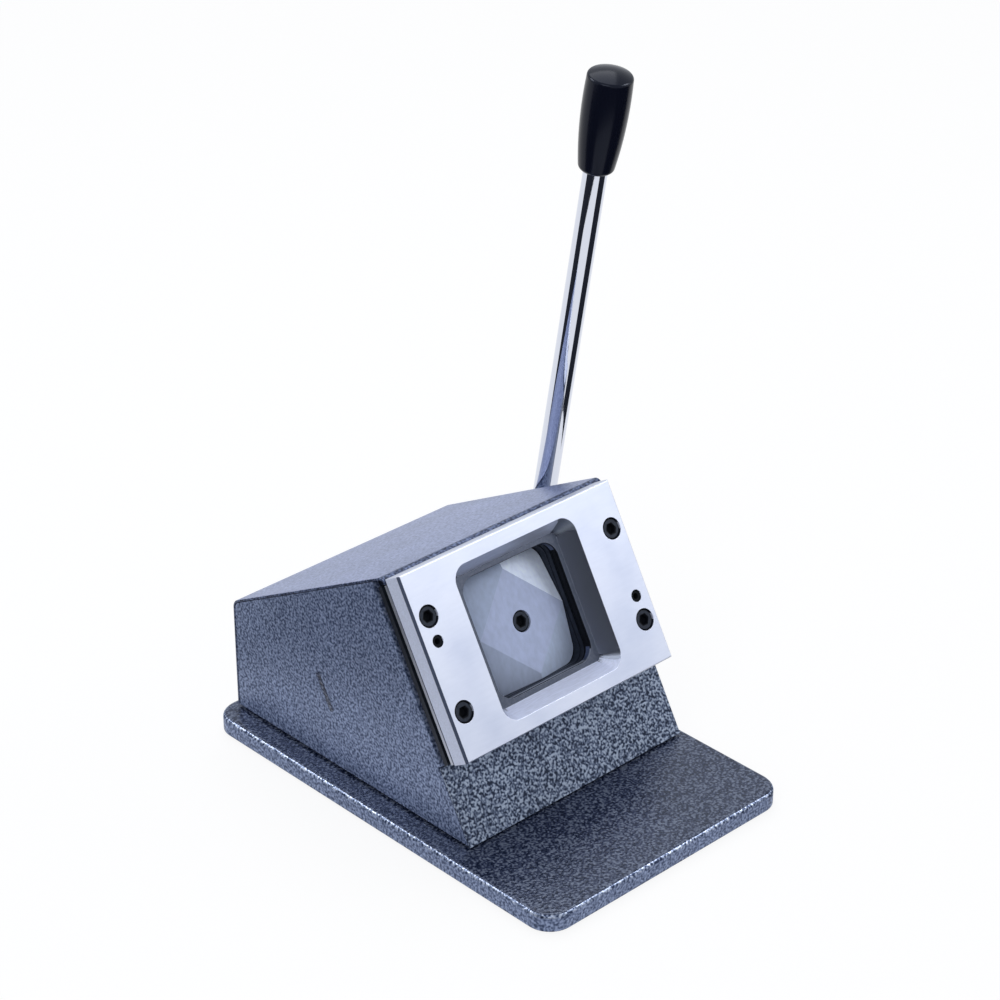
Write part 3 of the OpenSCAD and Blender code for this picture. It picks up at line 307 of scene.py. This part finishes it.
# Window and outer edges of the die head: milled, with finer and duller marks than the ground
# faces. Their tones are lit and shaded copies, chosen by the way each face looks: the window's
# top and bottom walls and the plate's left side are painted lighter, as painted light, and the
# window's upper right corner darker, as painted shade. The ledge at the foot of the window is
# painted dark. In the hole below it the walls are painted near black, as shade, and the floor
# lighter, as lit; the left chamfers of both plates are painted dark as shade.
plate_thickness = 0.00875
window_half = 0.0335
window_corner = 0.026
wall_start = 0.0005
ledge_start = 0.0068
facing = 0.5
leftward = -0.3
fully_left = -0.95
low, high = (Vector(corner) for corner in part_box("front_plate"))
plate_middle = (low + high) / 2


def shade(tint, share):
    return [share * channel for channel in tint]


def milled(name, tint, metal, rough=0.4):
    return marked(finish(name, rough=rough, metal=metal), 1500,
                  dark=shade(tint, 0.92), light=shade(tint, 1.08), stretch=(0.15, 1, 1))


def in_window(centre):
    off = centre - plate_middle
    return max(abs(off.x), abs(off.dot(along))) < window_half


def in_window_corner(centre):
    off = centre - plate_middle
    return min(off.x, off.dot(along)) > window_corner


def below_front(centre, depth):
    return in_window(centre) and (centre - plate_middle).dot(into) + plate_thickness / 2 > depth


def chamfered(normal):
    return fully_left < normal.x < leftward


dark_ledge = marked(finish("dark_ledge_steel", rough=0.4, metal=0.9), 900,
               dark=(0.058, 0.068, 0.095), light=(0.085, 0.095, 0.125), detail=2)
lit_hole_floor = milled("lit_hole_floor", (0.22, 0.24, 0.29), metal=0.2)
shaded_chamfer = milled("shaded_chamfer", (0.10, 0.12, 0.19), metal=0.9)
# Lit and shaded copies: lighter on the top and bottom walls and the left side, darker in the upper
# right corner and the hole.
repaint(front_plate, milled("milled_sides", (0.40, 0.435, 0.53), metal=1.0, rough=0.25),
        lambda centre, normal: below_front(centre, wall_start))
repaint(front_plate, milled("milled_top_lit", (0.50, 0.545, 0.68), metal=0.6),
        lambda centre, normal: below_front(centre, wall_start) and normal.dot(along) < -facing)
repaint(front_plate, milled("milled_bottom_lit", (0.68, 0.73, 0.92), metal=0.15),
        lambda centre, normal: below_front(centre, wall_start) and normal.dot(along) > facing)
repaint(front_plate, milled("milled_corner_shaded", (0.20, 0.225, 0.27), metal=0.9),
        lambda centre, normal: below_front(centre, wall_start) and in_window_corner(centre))
repaint(front_plate, dark_ledge, lambda centre, normal: below_front(centre, ledge_start))
repaint(front_plate, black_and_shade,
        lambda centre, normal: below_front(centre, ledge_start) and abs(normal.dot(into)) < facing)
repaint(front_plate, lit_hole_floor,
        lambda centre, normal: below_front(centre, ledge_start) and normal.dot(along) > facing)
repaint(front_plate, milled("milled_edge_lit", (0.60, 0.645, 0.80), metal=0.2, rough=0.5),
        lambda centre, normal: normal.x < leftward and not in_window(centre))
repaint(front_plate, shaded_chamfer,
        lambda centre, normal: chamfered(normal) and not in_window(centre))
repaint(die_plate, black_and_shade, lambda centre, normal: in_window(centre))
repaint(die_plate, lit_hole_floor, lambda centre, normal: in_window(centre) and normal.dot(along) > facing)
repaint(die_plate, shaded_chamfer, lambda centre, normal: chamfered(normal))


# Punch: hardened and ground steel, with four facets ground off towards its corners so that it
# starts to cut in the middle of each side. Its tone is painted a little darker than the plates',
# a painted shade for its place deep in the window, and each facet's tone is painted lighter or
# darker, painted light and shade for the way that the facet faces.
punch_ease = 0.0001
punch_corner = 12
facet_tilt = 0.10
facet_facing = -0.8


def hardened(name, tint):
    return marked(finish(name, rough=0.6, metal=0.2, shine=0.3), 500,
                  dark=shade(tint, 0.93), light=shade(tint, 1.07), stretch=(1, 1, 0.3))


punch = eased("punch", "punch_ground", punch_ease, hardened("hardened_steel", (0.43, 0.49, 0.68)),
              "ram", punch_corner)
# Facet tones are painted light and shade: lightest upper right, then lower right, darker on the left.
for facet, right, up, tint in (("upper_right", 1, 1, (0.75, 0.83, 1.0)),
                               ("upper_left", -1, 1, (0.37, 0.437, 0.595)),
                               ("lower_right", 1, -1, (0.54, 0.63, 0.82)),
                               ("lower_left", -1, -1, (0.39, 0.45, 0.60))):
    repaint(punch, hardened("hardened_" + facet, tint),
            lambda centre, normal: normal.dot(into) < facet_facing and right * normal.x > facet_tilt
            and up * normal.dot(along) > facet_tilt)


# Lever rod: bright steel bar, chromium plated, screwed into the hub on the shaft. Its dark
# streaks are reflections of the cards that stand round the machine.
chrome = finish("chromium_plate", (0.68, 0.71, 0.80), rough=0.05, metal=1.0)
dress(solids["lever_rod"], chrome)


# Knob: turned from black thermoset plastic, polished, and screwed on the end of the rod. It
# mirrors the softboxes as soft patches.
polish = finish("black_knob_plastic", (0.004, 0.005, 0.012), rough=0.20, shine=0.18,
                gleam=black_gleam)
dress(solids["lever_knob"], polish)


# Studio floor: a wide sheet of pale matt paper under the feet. To the lens and in shiny
# surfaces it glows almost white, and the machine's soft shadow still darkens it.
floor_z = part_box("rubber_feet")[0].z
floor_size = 8
paper_glow = 1.05
glow_share = 0.84


def larger(owner, first, second):
    node = owner.node_tree.nodes.new("ShaderNodeMath")
    node.operation = "MAXIMUM"
    wire(owner, first, node.inputs[0])
    wire(owner, second, node.inputs[1])
    return node.outputs["Value"]


paper = finish("studio_paper", (0.86, 0.87, 0.90), rough=0.9, shine=0.1)
parts = paper.node_tree.nodes
ray = parts.new("ShaderNodeLightPath")
share = parts.new("ShaderNodeMath")
share.operation = "MULTIPLY"
share.inputs[1].default_value = glow_share
glow = parts.new("ShaderNodeEmission")
glow.inputs["Strength"].default_value = paper_glow
sight = parts.new("ShaderNodeMixShader")
lit = larger(paper, ray.outputs["Is Camera Ray"], ray.outputs["Is Glossy Ray"])
wire(paper, lit, share.inputs[0])
wire(paper, share.outputs["Value"], sight.inputs["Fac"])
wire(paper, skin_of(paper).outputs["BSDF"], sight.inputs[1])
wire(paper, glow.outputs["Emission"], sight.inputs[2])
wire(paper, sight.outputs["Shader"], parts["Material Output"].inputs["Surface"])
bpy.ops.mesh.primitive_plane_add(size=floor_size, location=(0, 0, floor_z))
floor = bpy.context.object
floor.name = "studio_floor"
floor.data.materials.append(paper)


# Surroundings: white to the lens, and as bright but a little cooler in shiny surfaces. The
# light that they throw on the machine is weaker, like that of a pale room.
room_light = 0.42
room_tint = (0.90, 0.94, 1, 1)
world = bpy.data.worlds.new("studio")
bpy.context.scene.world = world
world.use_nodes = True
parts = world.node_tree.nodes
ray = parts.new("ShaderNodeLightPath")
hue = parts.new("ShaderNodeMix")
hue.data_type = "RGBA"
hue.inputs["A"].default_value = room_tint
hue.inputs["B"].default_value = (1, 1, 1, 1)
power = parts.new("ShaderNodeMapRange")
power.inputs["To Min"].default_value = room_light
power.inputs["To Max"].default_value = 1.0
mirrored = larger(world, ray.outputs["Is Glossy Ray"], ray.outputs["Is Transmission Ray"])
wire(world, ray.outputs["Is Camera Ray"], hue.inputs["Factor"])
wire(world, larger(world, ray.outputs["Is Camera Ray"], mirrored), power.inputs["Value"])
wire(world, hue.outputs["Result"], parts["Background"].inputs["Color"])
wire(world, power.outputs["Result"], parts["Background"].inputs["Strength"])


# Lamps: a wide softbox overhead and a fill from each side. Two more shine only in glossy
# surfaces and draw the bright lines along the base plate's rounded upper edges.
middle = Vector((0, 0, 0.07))
arris_light_distance = 1.5


def softbox(name, place, size, watts):
    lamp = bpy.data.lights.new(name, "AREA")
    lamp.size = size
    lamp.energy = watts
    holder = bpy.data.objects.new(name, lamp)
    bpy.context.collection.objects.link(holder)
    holder.location = place
    holder.rotation_euler = (middle - Vector(place)).to_track_quat("-Z", "Y").to_euler()
    return holder


softbox("overhead", (0.35, 0.5, 1.4), size=1.1, watts=8)
softbox("right_fill", (1.4, -0.9, 0.7), size=0.9, watts=2)
softbox("left_fill", (-1.1, -0.65, 1.05), size=0.9, watts=6.5)
for name, way in (("front_arris_light", (0.60, -0.48, 0.64)),
                  ("side_arris_light", (-0.48, 0.64, 0.60))):
    lamp = softbox(name, middle + arris_light_distance * Vector(way), size=0.55, watts=9)
    lamp.visible_diffuse = False


# Black cards round the machine, seen only in its shiny surfaces: one that stands at the left
# and three on the floor, as rings cut off round the rod's foot. They draw the dark streaks on
# the rod and darken the plate's left edge and the window's right wall.
card_black = finish("card_black", (0.012, 0.014, 0.022), rough=0.9, shine=0.1)
card_far = 0.9
card_lift = 0.0004
rod_foot = Vector((0.073, 0.02, floor_z + card_lift))
ring_steps = 12


def card(name, corners):
    sheet = bpy.data.meshes.new(name)
    sheet.from_pydata([tuple(corner) for corner in corners], [], [range(len(corners))])
    sheet.materials.append(card_black)
    holder = bpy.data.objects.new(name, sheet)
    bpy.context.collection.objects.link(holder)
    holder.visible_camera = False
    holder.visible_diffuse = False
    holder.visible_shadow = False


def standing_card(name, way, width, height):
    toward = Vector(way).normalized()
    across = Vector((0, 0, 1)).cross(toward).normalized()
    upward = toward.cross(across)
    centre = middle + card_far * toward
    card(name, [centre + side * width / 2 * across + end * height / 2 * upward
                for side, end in ((-1, -1), (1, -1), (1, 1), (-1, 1))])


def floor_card(name, start, end, near):
    """Part of a ring round the rod's foot, between two bearings in degrees."""
    turns = [math.radians(start + (end - start) * step / ring_steps)
             for step in range(ring_steps + 1)]
    ring = [(near, turn) for turn in turns] + [(card_far, turn) for turn in reversed(turns)]
    card(name, [rod_foot + reach * Vector((math.cos(turn), math.sin(turn), 0))
                for reach, turn in ring])


standing_card("left_card", (-0.94, -0.33, 0.12), width=1.05, height=0.80)
floor_card("left_floor_card", 142, 190, near=0.20)
floor_card("right_floor_card", -92, -24, near=0.12)
floor_card("near_floor_card", 188, 270, near=0.34)


# Camera: where the photograph was taken from, a long lens that looks down on the machine from
# the front left. Its place and turn were fitted to the photograph's edges and corners.
camera_place = (-0.69003, -0.73196, 0.67686)
camera_turn = math.radians(-43.48)
camera_rise = math.radians(28.78)
lens_length = 104.82
sensor_width = 36
lens = bpy.data.cameras.new("photo_camera")
lens.sensor_width = sensor_width
lens.lens = lens_length
camera = bpy.data.objects.new("photo_camera", lens)
bpy.context.collection.objects.link(camera)
camera.location = camera_place
camera.rotation_euler = (math.radians(90) - camera_rise, 0, camera_turn)
bpy.context.scene.camera = camera
bpy.context.scene.view_settings.view_transform = "Standard"
